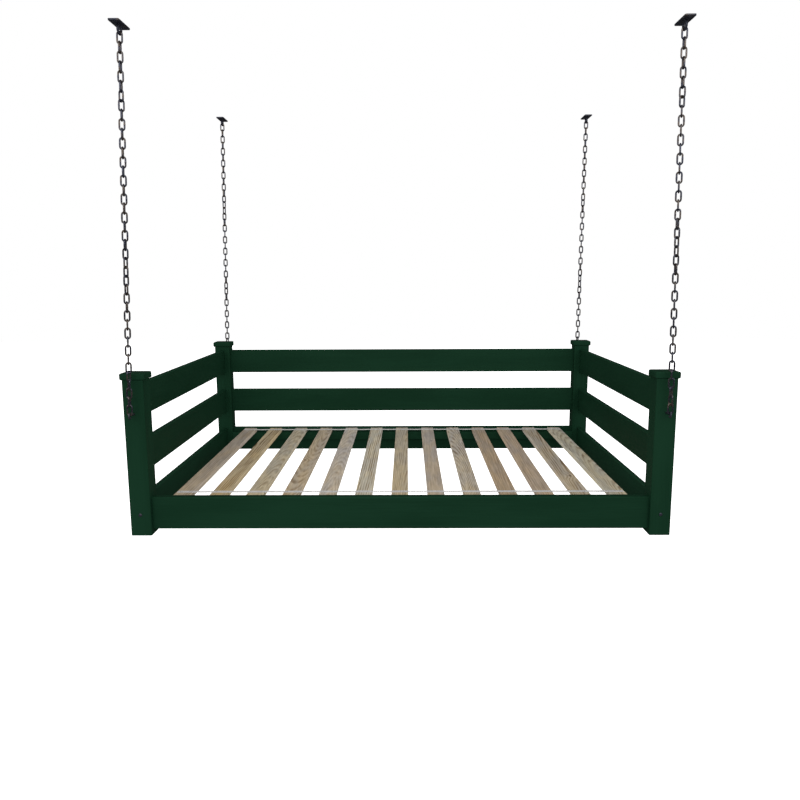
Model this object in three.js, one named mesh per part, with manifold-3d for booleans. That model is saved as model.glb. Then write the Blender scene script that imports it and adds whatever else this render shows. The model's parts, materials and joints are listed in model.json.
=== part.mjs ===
// A hanging porch bed: a slatted frame between four posts, hung on four chains.
// Millimetres. +X runs along the seat, +Y from the open front to the back, +Z up.
// The origin is the middle of the frame, level with the bottoms of the posts.

import * as THREE from "three";
import { mergeVertices } from "three/addons/utils/BufferGeometryUtils.js";
import Module from "manifold-3d";

const wasm = await Module();
wasm.setup();

// ---------------------------------------------------------------- driving dimensions

const overallLength = 2300; // outside of the posts, along X
const overallDepth = 1600; // outside of the posts, along Y

const postSize = 89;
const postAboveBoards = 22; // from the top edge of the top boards to the post's end
const postRounding = 6;

const capThickness = 28;
const capOverhang = 8;
const capRounding = 6;

const boardHeight = 140; // every rail and board is the same height
const boardThickness = 25; // arm and back boards
const railThickness = 38; // the front and back bottom rails, which carry the slats
const boardEase = 3; // flat on each long edge
const bottomRow = 22; // height of the underside of the bottom rails
const rowGap = 104; // open space between one row of boards and the next
const letIn = 15; // how far a board's end sits inside its post

const ledgerThickness = 30;
const ledgerHeight = 45;

const slatCount = 13;
const slatWidth = 73;
const slatThickness = 22;
const slatEndSpace = 108; // between an arm's inner face and the nearest slat
const slatBelowRail = 3.7; // top of the slats below the top of the rails
const slatEndPlay = 2.5; // between a slat's end and the rail

const tapeWidth = 25;
const tapeThickness = 1.2;
const tapeInset = 58; // middle of the tape from the rail's inner face
const tapeEndInset = 5; // end of the tape from the edge of the last slat

const boltDiameter = 8;
const boltHeadDiameter = 15;
const boltHeadThickness = 3.5;
const boltSocket = 5; // across the flats of the hexagon recess
const boltSocketDepth = 2;
const boltReach = 64; // length of bolt inside the side rail
const barrelDiameter = 12;
const barrelLength = 19;
const barrelInset = 48; // barrel nut's axis from the end of the side rail

const eyeBelowTop = 142; // middle of a ring eye below the end of its post
const eyeStandoff = 46; // middle of a ring eye out from the post
const eyeWire = 7;
const eyeInsideDiameter = 14;
const eyeScrewDiameter = 8;
const eyeScrewDepth = 60; // length of screw inside the post

const chainLinks = 42; // in each chain
const linkPitch = 35;
const linkWidth = 26;
const linkWire = 7;
const linkBite = 0.5; // how far links that bear on each other are worn into one

const hangerWire = 10;
const hangerInsideDiameter = 24;
const hangerDrop = 14; // from a hanger plate down to the middle of its ring, with its chain plumb
const hangerPlateLength = 120; // along Y, the way the bed swings
const hangerPlateWidth = 42;
const hangerPlateThickness = 6;
const hangerPlateCorner = 6;
const hangerHoleDiameter = 10;
const hangerHoleSpacing = 88;

const fit = 0.3; // between pieces that seat on each other
const bearing = 0.4; // between an end link and the ring that it turns in

const roundSides = 8; // facets of a bolt, a nut, a screw and their holes
const wireSides = 4; // facets of a chain's wire
const linkSides = 8; // straight stretches round a link
const ringWireSides = 6;
const ringSides = 12;

// ---------------------------------------------------------------- derived places

const postX = (overallLength - postSize) / 2; // middle of a post
const postY = (overallDepth - postSize) / 2;
const rowMiddle = [0, 1, 2].map(
  (row) => bottomRow + boardHeight / 2 + row * (boardHeight + rowGap),
);
const postHeight = rowMiddle[2] + boardHeight / 2 + postAboveBoards;
const eyeHeight = postHeight - eyeBelowTop;
const alongX = overallLength - 2 * postSize + 2 * letIn; // length of a board along X
const alongY = overallDepth - 2 * postSize + 2 * letIn;
const railInnerY = postY - railThickness / 2;
const slatTop = bottomRow + boardHeight - slatBelowRail;
const slatBottom = slatTop - slatThickness;
const slatsEnd = postX - boardThickness / 2 - slatEndSpace; // outer edge of the last slat
const slatPitch = (2 * slatsEnd - slatWidth) / (slatCount - 1);
const eyeRadius = eyeInsideDiameter / 2; // inside of the ring
const hangerRadius = hangerInsideDiameter / 2;

// From the middle of the eye to the middle of the hanger's ring, along the chain.
const chainLength =
  eyeRadius - bearing + chainLinks * linkPitch - linkBite + hangerRadius - bearing;

// Underside of the level beams that carry the hanger plates.
const beamHeight = eyeHeight + chainLength + hangerDrop;

// side: -1 left, 1 right. end: -1 front, 1 back. inset: how much nearer the middle the
// hanger is than its eye, because nobody meets a beam exactly above each post.
const corners = [
  { name: "front_left", side: -1, end: -1, inset: 55 },
  { name: "front_right", side: 1, end: -1, inset: 26 },
  { name: "back_left", side: -1, end: 1, inset: 27 },
  { name: "back_right", side: 1, end: 1, inset: -9 },
];

// The stretches where a chain turns by more than a quarter from link to link: the first and
// last link, and how many quarters the stretch adds. Three in all put the top link in line
// with the hanger.
const chainTurns = {
  front_left: [[3, 5, 1.23], [12, 20, 0.9], [34, 36, 0.87]],
  front_right: [[1, 3, 0.77], [15, 23, 1], [34, 36, 1.23]],
  back_left: [[3, 5, 1.15], [12, 16, 1], [24, 31, 0.85]],
  back_right: [[3, 5, 0.85], [12, 18, 1], [27, 31, 1.15]],
};

// ---------------------------------------------------------------- materials

const finish = (color, roughness, metalness) =>
  new THREE.MeshStandardMaterial({ color, roughness, metalness });
const paint = finish("#17372a", 0.5, 0);
const timber = finish("#a3957f", 0.8, 0);
const webbing = finish("#c8c8cc", 0.9, 0);
const darkSteel = finish("#3b3536", 0.4, 0.9);

// ---------------------------------------------------------------- solids

// A three.js geometry as a solid that can be joined and cut.
function solid(geometry) {
  const shape = geometry.clone();
  shape.deleteAttribute("normal");
  shape.deleteAttribute("uv");
  const merged = mergeVertices(shape, 1e-4);
  return new wasm.Manifold(
    new wasm.Mesh({
      numProp: 3,
      vertProperties: new Float32Array(merged.attributes.position.array),
      triVerts: new Uint32Array(merged.index.array),
    }),
  );
}

// A solid back as a three.js geometry.
function geometryOf(body) {
  const mesh = body.getMesh();
  const geometry = new THREE.BufferGeometry();
  geometry.setAttribute("position", new THREE.BufferAttribute(mesh.vertProperties, 3));
  geometry.setIndex(new THREE.BufferAttribute(mesh.triVerts, 1));
  geometry.computeVertexNormals();
  return geometry;
}

function cut(geometry, tools) {
  return geometryOf(tools.reduce((body, tool) => body.subtract(solid(tool)), solid(geometry)));
}

function join(geometries) {
  return geometryOf(geometries.map(solid).reduce((body, next) => body.add(next)));
}

// A prism along +Z, centred on the origin, from a flat outline.
function prism(outline, length) {
  return new THREE.ExtrudeGeometry(outline, {
    depth: length,
    bevelEnabled: false,
    curveSegments: 1,
  }).translate(0, 0, -length / 2);
}

function easedRectangle(width, height, ease) {
  const x = width / 2;
  const y = height / 2;
  return new THREE.Shape([
    new THREE.Vector2(x, y - ease),
    new THREE.Vector2(x - ease, y),
    new THREE.Vector2(ease - x, y),
    new THREE.Vector2(-x, y - ease),
    new THREE.Vector2(-x, ease - y),
    new THREE.Vector2(ease - x, -y),
    new THREE.Vector2(x - ease, -y),
    new THREE.Vector2(x, ease - y),
  ]);
}

function roundedRectangle(width, height, radius) {
  const x = width / 2 - radius;
  const y = height / 2 - radius;
  const outline = new THREE.Shape();
  outline.absarc(x, y, radius, 0, Math.PI / 2);
  outline.absarc(-x, y, radius, Math.PI / 2, Math.PI);
  outline.absarc(-x, -y, radius, Math.PI, 1.5 * Math.PI);
  outline.absarc(x, -y, radius, 1.5 * Math.PI, 2 * Math.PI);
  outline.closePath();
  return outline;
}

// A round rod along +Y, centred on the origin.
function rod(diameter, length, sides = roundSides) {
  return new THREE.CylinderGeometry(diameter / 2, diameter / 2, length, sides);
}

// ---------------------------------------------------------------- rails and boards

// Every rail and board: which way it runs, its thickness and the middle of it.
const rails = [
  { name: "front_rail", run: "x", thickness: railThickness, at: [0, -postY, rowMiddle[0]] },
  { name: "back_rail", run: "x", thickness: railThickness, at: [0, postY, rowMiddle[0]] },
  { name: "back_board_mid", run: "x", thickness: boardThickness, at: [0, postY, rowMiddle[1]] },
  { name: "back_board_top", run: "x", thickness: boardThickness, at: [0, postY, rowMiddle[2]] },
];
for (const [end, side] of [["left", -1], ["right", 1]]) {
  ["side_rail", "arm_board_mid", "arm_board_top"].forEach((name, row) => {
    rails.push({
      name: name + "_" + end,
      run: "y",
      thickness: boardThickness,
      at: [side * postX, 0, rowMiddle[row]],
    });
  });
}

// A board standing on edge along its run, with its long edges eased.
function board({ run, thickness }) {
  if (run === "y") {
    return prism(easedRectangle(thickness, boardHeight, boardEase), alongY).rotateX(Math.PI / 2);
  }
  return prism(easedRectangle(boardHeight, thickness, boardEase), alongX).rotateY(Math.PI / 2);
}

// The space that a board's ends take in the posts, with the fit all round.
function housing({ run, thickness, at }) {
  const x = (run === "x" ? alongX : thickness) + 2 * fit;
  const y = (run === "y" ? alongY : thickness) + 2 * fit;
  return new THREE.BoxGeometry(x, y, boardHeight + 2 * fit).translate(...at);
}

// ---------------------------------------------------------------- bolts and barrel nuts

const boltLength = postSize - letIn + boltReach; // from the post's outer face to its tip
const sideRailEnd = alongY / 2;

// Turned about its axis: a shallow domed head, and a shank along +Y from the head's seat.
function bolt() {
  const head = boltHeadDiameter / 2;
  const shank = boltDiameter / 2;
  const profile = [
    [0, -boltHeadThickness],
    [head * 0.8, -boltHeadThickness],
    [head, -boltHeadThickness * 0.4],
    [head, -fit],
    [shank, -fit],
    [shank, boltLength - shank / 2],
    [shank / 2, boltLength],
    [0, boltLength],
  ].map(([radius, y]) => new THREE.Vector2(radius, y));
  const socket = rod(boltSocket / Math.cos(Math.PI / 6), 2 * boltSocketDepth, 6);
  return cut(new THREE.LatheGeometry(profile, roundSides), [
    socket.translate(0, -boltHeadThickness, 0),
  ]);
}

function boltHole(diameter, length) {
  return rod(diameter, length).translate(0, length / 2, 0);
}

// The nut lies across the side rail, with the bolt's hole through it.
function barrelNut() {
  const barrel = rod(barrelDiameter, barrelLength).rotateZ(Math.PI / 2);
  return cut(barrel, [rod(boltDiameter + 2 * fit, 2 * barrelDiameter)]);
}

// Middle of a barrel nut, on the bolt's own line.
function barrelPlace({ side, end }) {
  return [side * postX, end * (sideRailEnd - barrelInset), rowMiddle[0]];
}

// A geometry made for the front, turned round for the back.
function towards(end, geometry) {
  return end < 0 ? geometry : geometry.rotateZ(Math.PI);
}

// The holes that the bolts and barrel nuts need in a side rail. A nut goes in from the
// rail's outer face.
function sideRailHoles(side) {
  return corners
    .filter((corner) => corner.side === side)
    .flatMap((corner) => {
      const [x, y, z] = barrelPlace(corner);
      const pocketLength = (barrelLength + boardThickness) / 2 + 2 * fit;
      const pocket = rod(barrelDiameter + 2 * fit, pocketLength).rotateZ(Math.PI / 2);
      const fromFoot = pocketLength / 2 - barrelLength / 2 - fit;
      const hole = towards(corner.end, boltHole(boltDiameter + 2 * fit, boltLength + 2));
      return [
        pocket.translate(x + side * fromFoot, y, z),
        hole.translate(side * postX, (corner.end * overallDepth) / 2, z),
      ];
    });
}

// ---------------------------------------------------------------- posts and caps

function post(corner) {
  const { side, end } = corner;
  const shaft = prism(roundedRectangle(postSize, postSize, postRounding), postHeight);
  shaft.translate(side * postX, end * postY, postHeight / 2);
  const face = (end * overallDepth) / 2;
  const screwHole = towards(end, boltHole(eyeScrewDiameter + 2 * fit, eyeScrewDepth + 2));
  const railBolt = towards(end, boltHole(boltDiameter + 2 * fit, postSize));
  return cut(shaft, [
    ...rails.map(housing),
    screwHole.translate(side * postX, face, eyeHeight),
    railBolt.translate(side * postX, face, rowMiddle[0]),
  ]);
}

// A square block with its edges rounded over, top and bottom.
function cap() {
  const size = postSize + 2 * capOverhang - 2 * capRounding;
  return new THREE.ExtrudeGeometry(roundedRectangle(size, size, capRounding), {
    depth: capThickness - 2 * capRounding,
    bevelThickness: capRounding,
    bevelSize: capRounding,
    bevelSegments: 2,
    curveSegments: 1,
  }).translate(0, 0, capRounding);
}

// ---------------------------------------------------------------- eyes, chains, hangers

// A ring in the YZ plane whose inside, at the middle of each flat, has this radius.
function ring(insideRadius, wire) {
  const toFlat = Math.cos(Math.PI / ringSides);
  const middle = (insideRadius + wire / 2) / toFlat;
  return new THREE.TorusGeometry(middle, wire / 2, ringWireSides, ringSides)
    .rotateZ(Math.PI / ringSides)
    .rotateY(Math.PI / 2);
}

// A ring eye with its wood screw along +Y; the middle of the ring is the origin.
function screwEye() {
  const neck = eyeRadius + eyeWire / 2;
  const length = eyeStandoff + eyeScrewDepth - neck;
  return join([ring(eyeRadius, eyeWire), screwShank(length).translate(0, neck, 0)]);
}

// The screw: a plain neck, then a taper to its point.
function screwShank(length) {
  const radius = eyeScrewDiameter / 2;
  const taper = eyeScrewDiameter * 1.5;
  const profile = [
    [0, 0],
    [radius, 0],
    [radius, length - taper],
    [radius / 4, length],
    [0, length],
  ].map(([r, y]) => new THREE.Vector2(r, y));
  return new THREE.LatheGeometry(profile, roundSides);
}

// A link is a ring pulled out along its length: the half above the middle moves up and
// the half below moves down, until its inside is as long as the pitch of the chain.
function link() {
  const bend = (linkWidth - linkWire) / 2;
  const halfTurn = Math.PI / linkSides;
  const shape = new THREE.TorusGeometry(bend, linkWire / 2, wireSides, linkSides);
  shape.rotateZ(halfTurn);
  const insideLength = linkPitch - linkBite;
  const pull = insideLength / 2 - (bend - linkWire / 2) * Math.cos(halfTurn);
  const corner = shape.attributes.position;
  for (let i = 0; i < corner.count; i++) {
    corner.setY(i, corner.getY(i) + Math.sign(corner.getY(i)) * pull);
  }
  return shape.rotateX(Math.PI / 2).translate(0, 0, insideLength / 2);
}

// How many quarter turns link i is from the lowest one: a quarter for each link below it,
// and its share of what each stretch adds.
function quarterTurns(i, stretches) {
  const share = ([first, last, quarters]) =>
    quarters * THREE.MathUtils.clamp((i - first + 1) / (last - first + 1), 0, 1);
  return stretches.reduce((sum, stretch) => sum + share(stretch), i);
}

// The chain rises along +Z from the middle of its eye.
function chain(stretches) {
  const links = [];
  for (let i = 0; i < chainLinks; i++) {
    const angle = quarterTurns(i, stretches) * (Math.PI / 2);
    const foot = eyeRadius - bearing + i * linkPitch;
    links.push(link().rotateZ(angle).translate(0, 0, foot));
  }
  return join(links);
}

// A plate for the underside of a beam, with a ring welded into it from below and
// dressed flush on top. The middle of the ring is the origin, this far below the plate.
function hanger(drop) {
  const top = drop + hangerPlateThickness;
  const plate = prism(
    easedRectangle(hangerPlateWidth, hangerPlateLength, hangerPlateCorner),
    hangerPlateThickness,
  ).translate(0, 0, top - hangerPlateThickness / 2);
  const body = join([plate, ring(hangerRadius, hangerWire)]);
  const proud = new THREE.BoxGeometry(hangerPlateWidth, hangerPlateLength, hangerWire);
  const holes = [-1, 1].map((way) =>
    rod(hangerHoleDiameter, 4 * hangerPlateThickness)
      .rotateX(Math.PI / 2)
      .translate(0, (way * hangerHoleSpacing) / 2, drop),
  );
  return cut(body, [proud.translate(0, 0, top + hangerWire / 2), ...holes]);
}

// ---------------------------------------------------------------- assembly

const swing = new THREE.Group();
const frame = new THREE.Group();
const rigging = new THREE.Group();
swing.add(frame, rigging);

function place(group, name, geometry, material, position = [0, 0, 0], turn = [0, 0, 0]) {
  const mesh = new THREE.Mesh(geometry, material);
  mesh.name = name;
  mesh.position.set(...position);
  mesh.rotation.set(...turn);
  group.add(mesh);
}

for (const rail of rails) {
  let shape = board(rail).translate(...rail.at);
  if (rail.name.startsWith("side_rail")) {
    shape = cut(shape, sideRailHoles(Math.sign(rail.at[0])));
  }
  place(frame, rail.name, shape, paint);
}

const ledgerLength = overallLength - 2 * postSize - 2 * fit;
for (const [name, end] of [["front_ledger", -1], ["back_ledger", 1]]) {
  place(
    frame,
    name,
    new THREE.BoxGeometry(ledgerLength, ledgerThickness, ledgerHeight),
    paint,
    [0, end * (railInnerY - fit - ledgerThickness / 2), slatBottom - fit - ledgerHeight / 2],
  );
}

const slatLength = 2 * (railInnerY - slatEndPlay);
for (let i = 0; i < slatCount; i++) {
  const x = slatWidth / 2 - slatsEnd + i * slatPitch;
  const shape = new THREE.BoxGeometry(slatWidth, slatLength, slatThickness);
  const name = "slat_" + String(i + 1).padStart(2, "0");
  place(frame, name, shape, timber, [x, 0, slatTop - slatThickness / 2]);
}

const tapeLength = 2 * (slatsEnd - tapeEndInset);
for (const [name, end] of [["front_tape", -1], ["back_tape", 1]]) {
  place(frame, name, new THREE.BoxGeometry(tapeLength, tapeWidth, tapeThickness), webbing, [
    0,
    end * (railInnerY - tapeInset),
    slatTop + fit + tapeThickness / 2,
  ]);
}

for (const corner of corners) {
  const { name, side, end, inset } = corner;
  const face = (end * overallDepth) / 2;
  const about = end < 0 ? 0 : Math.PI;
  const eye = [side * postX, face + end * eyeStandoff, eyeHeight];
  const lean = Math.asin(inset / chainLength);
  const ringMiddle = [side * (postX - inset), eye[1], eyeHeight + chainLength * Math.cos(lean)];

  place(frame, "post_" + name, post(corner), paint);
  place(frame, "cap_" + name, cap(), paint, [side * postX, end * postY, postHeight + fit]);
  place(frame, "bolt_" + name, bolt(), darkSteel, [side * postX, face, rowMiddle[0]], [0, 0, about]);
  place(frame, "barrel_nut_" + name, barrelNut(), darkSteel, barrelPlace(corner));
  place(frame, "screw_eye_" + name, screwEye(), darkSteel, eye, [0, 0, about]);
  place(rigging, "chain_" + name, chain(chainTurns[name]), darkSteel, eye, [0, -side * lean, 0]);
  place(rigging, "hanger_" + name, hanger(beamHeight - ringMiddle[2]), darkSteel, ringMiddle);
}

export default swing;
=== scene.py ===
# %% [markdown]
# # A hanging porch bed
#
# This lesson dresses a finished frame: painted timber, bare pine slats, webbing and chain. The
# construction is already settled, so every piece takes its place and its outer size from the
# frame. What is added is what the eye looks for: round edges, real wire, grain and wear. Lengths
# are in metres. X runs from the left arm to the right one, Y from the open front to the back,
# and Z up from the feet of the posts.

# %% The frame
import json
import math

import bmesh
import bpy
import numpy as np
from mathutils import Matrix, Vector


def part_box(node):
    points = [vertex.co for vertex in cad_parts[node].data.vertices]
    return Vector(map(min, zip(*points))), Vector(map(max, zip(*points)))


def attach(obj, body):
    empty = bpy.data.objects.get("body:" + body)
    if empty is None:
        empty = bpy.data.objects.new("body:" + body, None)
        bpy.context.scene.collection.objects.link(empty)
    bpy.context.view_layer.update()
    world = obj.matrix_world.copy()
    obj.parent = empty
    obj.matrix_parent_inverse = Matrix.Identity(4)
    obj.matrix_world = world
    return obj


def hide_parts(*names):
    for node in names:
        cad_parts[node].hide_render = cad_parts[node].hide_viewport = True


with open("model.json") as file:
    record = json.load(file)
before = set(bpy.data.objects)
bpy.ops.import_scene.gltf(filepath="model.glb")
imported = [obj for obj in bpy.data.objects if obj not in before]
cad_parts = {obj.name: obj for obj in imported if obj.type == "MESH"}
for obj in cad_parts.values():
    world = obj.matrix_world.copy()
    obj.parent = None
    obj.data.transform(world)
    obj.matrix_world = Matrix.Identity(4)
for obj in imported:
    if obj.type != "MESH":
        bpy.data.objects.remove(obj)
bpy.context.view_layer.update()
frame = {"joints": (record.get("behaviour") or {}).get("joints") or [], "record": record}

# %% [markdown]
# The frame knows which body and which finish each of its nodes has. The dictionary below turns
# the bodies round, so that a new piece can be told in one call what it stands for.

# %% What each node belongs to
record = frame["record"]
body_of_node = {n: body for body, nodes in record["behaviour"]["bodies"].items() for n in nodes}
corners = ("front_left", "front_right", "back_left", "back_right")
X, Y, Z = range(3)
fit = 0.0003  # room between pieces that seat on each other


def box_of(node):
    """Lowest and highest corner of a node, as arrays."""
    low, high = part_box(node)
    return np.array(low), np.array(high)


def stands_for(piece, node):
    """Shows a piece in place of a node, on the node's body."""
    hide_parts(node)
    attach(piece, body_of_node[node])


# %% [markdown]
# ## Camera
#
# The bed is seen from the open side, from a little above its arms and almost square on. A camera
# is placed by the direction it looks in. Yaw turns it about the vertical, pitch lowers its nose,
# and roll leans it. Four columns of a matrix then hold its right, its up, its back and its place.

# %% Camera
camera_place = (0.033, -3.820, 1.083)
camera_yaw, camera_pitch, camera_roll = -0.0097, 0.1630, 0.0044
camera_lens, camera_sensor = 33.26, 36  # millimetres


def camera_matrix(place, yaw, pitch, roll):
    """World matrix of a camera from its place and three small angles.

    Forward = (sin yaw cos pitch, cos yaw cos pitch, -sin pitch). Level right = (cos yaw,
    -sin yaw, 0), level down = forward x level right, and roll turns the last two together.
    """
    forward = np.array([np.sin(yaw) * np.cos(pitch), np.cos(yaw) * np.cos(pitch), -np.sin(pitch)])
    level = np.array([np.cos(yaw), -np.sin(yaw), 0.0])
    down = np.cross(forward, level)
    right = level * np.cos(roll) + down * np.sin(roll)
    up = level * np.sin(roll) - down * np.cos(roll)
    matrix = np.eye(4)
    matrix[:3] = np.column_stack([right, up, -forward, place])
    return Matrix(matrix.tolist())


camera = bpy.data.objects.new("camera", bpy.data.cameras.new("camera"))
camera.data.lens = camera_lens
camera.data.sensor_width = camera_sensor
camera.matrix_world = camera_matrix(camera_place, camera_yaw, camera_pitch, camera_roll)
bpy.context.scene.collection.objects.link(camera)
bpy.context.scene.camera = camera
print("camera looks", round(math.degrees(camera_pitch), 1), "degrees down")

# %% [markdown]
# ## Light
#
# Dark green paint needs very soft light, or every board turns into a mirror. So the lamps are
# large panels: a wide one over the camera, a dimmer one behind the bed, one over the seat, and
# one on each side for the inner faces of the arms. The panel behind lights the back but is kept
# out of reflections, where it would draw a pale line along every top edge.

# %% Light
seat = (0, 0, 0.3)
under_seat = (0, 0, 0)


def panel(name, place, towards, width, height, watts):
    """A soft rectangular lamp at one point, facing another."""
    lamp = bpy.data.lights.new(name, "AREA")
    lamp.shape = "RECTANGLE"
    lamp.size, lamp.size_y, lamp.energy = width, height, watts
    holder = bpy.data.objects.new(name, lamp)
    holder.location = place
    holder.rotation_mode = "QUATERNION"
    holder.rotation_quaternion = (Vector(towards) - Vector(place)).to_track_quat("-Z", "Y")
    bpy.context.scene.collection.objects.link(holder)
    return holder


panel("front_panel", (0, -8.0, 4.2), seat, 9.0, 4.0, 290)
panel("top_panel", (0, -0.5, 4.2), under_seat, 4.0, 3.0, 14)
back_panel = panel("back_panel", (0, 8.0, 4.2), seat, 9.0, 4.0, 120)
back_panel.visible_glossy = False
panel("left_panel", (-4.5, -0.7, 2.2), seat, 3.0, 2.5, 30)
panel("right_panel", (4.5, -0.7, 2.2), seat, 3.0, 2.5, 34)
print(len(bpy.data.lights), "panels")

# %% [markdown]
# ## Room and floor
#
# The room gives the rest of the light, a plain even glow. Its brightness is split in three: the
# backdrop is white to look at, milder where it lights a surface, and dimmer still in reflections,
# so that paint seen at a flat angle stays deep. A Light Path node tells the three apart. The
# floor is a porch's distance below the posts and as pale as the backdrop. It catches faint
# shadows, and neither lights the bed from below nor shows in it.

# %% Room and floor
white = (1, 1, 1, 1)
backdrop_white = 1.0
room_glow = 0.50
room_mirrored = 0.05
floor_level = -0.42
floor_reach = 14.0

world = bpy.data.worlds.new("room")
world.use_nodes = True
bpy.context.scene.world = world
room = world.node_tree
ray_kind = room.nodes.new("ShaderNodeLightPath")
shown = room.nodes["Background"]
shown.inputs["Color"].default_value = white
shown.inputs["Strength"].default_value = room_glow
for ray, brightness in (("Is Glossy Ray", room_mirrored), ("Is Camera Ray", backdrop_white)):
    other = room.nodes.new("ShaderNodeBackground")
    other.inputs["Color"].default_value = white
    other.inputs["Strength"].default_value = brightness
    choice = room.nodes.new("ShaderNodeMixShader")
    room.links.new(ray_kind.outputs[ray], choice.inputs["Fac"])
    room.links.new(shown.outputs[0], choice.inputs[1])
    room.links.new(other.outputs[0], choice.inputs[2])
    shown = choice
room.links.new(shown.outputs[0], room.nodes["World Output"].inputs["Surface"])
bpy.context.scene.view_settings.view_transform = "Standard"

floor_corners = floor_reach * np.array([(-1, -1, 0), (1, -1, 0), (1, 1, 0), (-1, 1, 0)])
floor_mesh = bpy.data.meshes.new("floor")
floor_mesh.from_pydata(floor_corners.tolist(), [], [(0, 1, 2, 3)])
floor = bpy.data.objects.new("floor", floor_mesh)
floor.location.z = floor_level
floor.visible_diffuse = False
floor.visible_glossy = False
bpy.context.scene.collection.objects.link(floor)
print("floor", floor_level, "m below the posts")

# %% [markdown]
# ## Shader arithmetic
#
# A pattern on a surface is a formula. Written as nodes it takes a dozen boxes and wires, and as
# Python it is one line. The class `Value` wraps the output of a node, and each operator adds the
# Math node that does the same.

# %% Shader arithmetic
class Value:
    """An output socket that can be used in a sum. Numbers may stand on either side."""

    def __init__(self, shade, socket):
        self.shade = shade
        self.socket = socket

    def maths(self, operation, *others):
        """A Math node on this value and the others."""
        values = dict(enumerate((self, *others)))
        return self.shade.node("ShaderNodeMath", {"operation": operation}, values)

    def __add__(self, other):
        return self.maths("ADD", other)

    def __sub__(self, other):
        return self.maths("SUBTRACT", other)

    def __mul__(self, other):
        return self.maths("MULTIPLY", other)

    def __pow__(self, other):
        return self.maths("POWER", other)

    def __rsub__(self, other):
        return self.shade.node("ShaderNodeMath", {"operation": "SUBTRACT"}, {0: other, 1: self})

    __radd__ = __add__
    __rmul__ = __mul__


print("values can be added, subtracted, multiplied and raised to a power")

# %% [markdown]
# ## One material
#
# `Shade` holds one material, and adds any other node from its type, its settings and its inputs.
# What is the same all over a surface is set on the shader itself. The methods after `node` are
# the few nodes that the finishes here need: a place, a stored value, noise, a soft step, a mix of
# two colours and a relief.

# %% One material
class Shade:
    """One material on a Principled shader, with settings the same all over the surface."""

    def __init__(self, name, **constants):
        self.material = bpy.data.materials.new(name)
        self.material.use_nodes = True
        self.tree = self.material.node_tree
        self.surface = self.tree.nodes["Principled BSDF"]
        for socket, value in constants.items():
            self.surface.inputs[socket.replace("_", " ")].default_value = value

    def node(self, kind, settings=(), inputs=(), output=0):
        """Adds a node: its settings first, then a value or a link for each named socket."""
        made = self.tree.nodes.new(kind)
        for name, value in dict(settings).items():
            setattr(made, name, value)
        for name, value in dict(inputs).items():
            if isinstance(value, Value):
                self.tree.links.new(value.socket, made.inputs[name])
            else:
                made.inputs[name].default_value = value
        return Value(self, made.outputs[output])

    def place(self):
        """Where a point is, in metres from the origin."""
        return self.node("ShaderNodeTexCoord", output="Object")

    def attribute(self, name, output="Vector"):
        """A value stored on the points of the piece."""
        return self.node("ShaderNodeAttribute", {"attribute_name": name}, output=output)

    def scaled(self, vector, factors):
        """A vector with each part multiplied by its own factor."""
        inputs = {0: vector, 1: factors}
        return self.node("ShaderNodeVectorMath", {"operation": "MULTIPLY"}, inputs)

    def noise(self, vector, scale=1.0, detail=2.0, roughness=0.5):
        """Cloudy values around one half."""
        inputs = {"Vector": vector, "Scale": scale, "Detail": detail, "Roughness": roughness}
        return self.node("ShaderNodeTexNoise", {"noise_dimensions": "3D"}, inputs)

    def parts(self, vector):
        """The three parts of a vector, as values."""
        split = self.node("ShaderNodeSeparateXYZ", inputs={"Vector": vector}).socket.node
        return [Value(self, socket) for socket in split.outputs]

    def fade(self, value, low, high, to_low=0.0, to_high=1.0):
        """A value carried smoothly from one range into another and held at its ends."""
        settings = {"interpolation_type": "SMOOTHSTEP"}
        inputs = {
            "Value": value,
            "From Min": low,
            "From Max": high,
            "To Min": to_low,
            "To Max": to_high,
        }
        return self.node("ShaderNodeMapRange", settings, inputs)

    def blend(self, share, first, second):
        """A colour between two. A Mix node has them on inputs 6 and 7, and the mix on output 2."""
        settings = {"data_type": "RGBA"}
        return self.node("ShaderNodeMix", settings, {0: share, 6: first, 7: second}, output=2)

    def bump(self, height, distance, strength=1.0):
        """Relief from a height between 0 and 1 that stands for a distance in metres."""
        inputs = {"Height": height, "Distance": distance, "Strength": strength}
        return self.node("ShaderNodeBump", inputs=inputs)

    def finish(self, **inputs):
        """Feeds the surface and gives back the material."""
        for name, value in inputs.items():
            self.tree.links.new(value.socket, self.surface.inputs[name.replace("_", " ")])
        return self.material


print(sum(not name.startswith("_") for name in vars(Shade)), "methods for a material")
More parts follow.
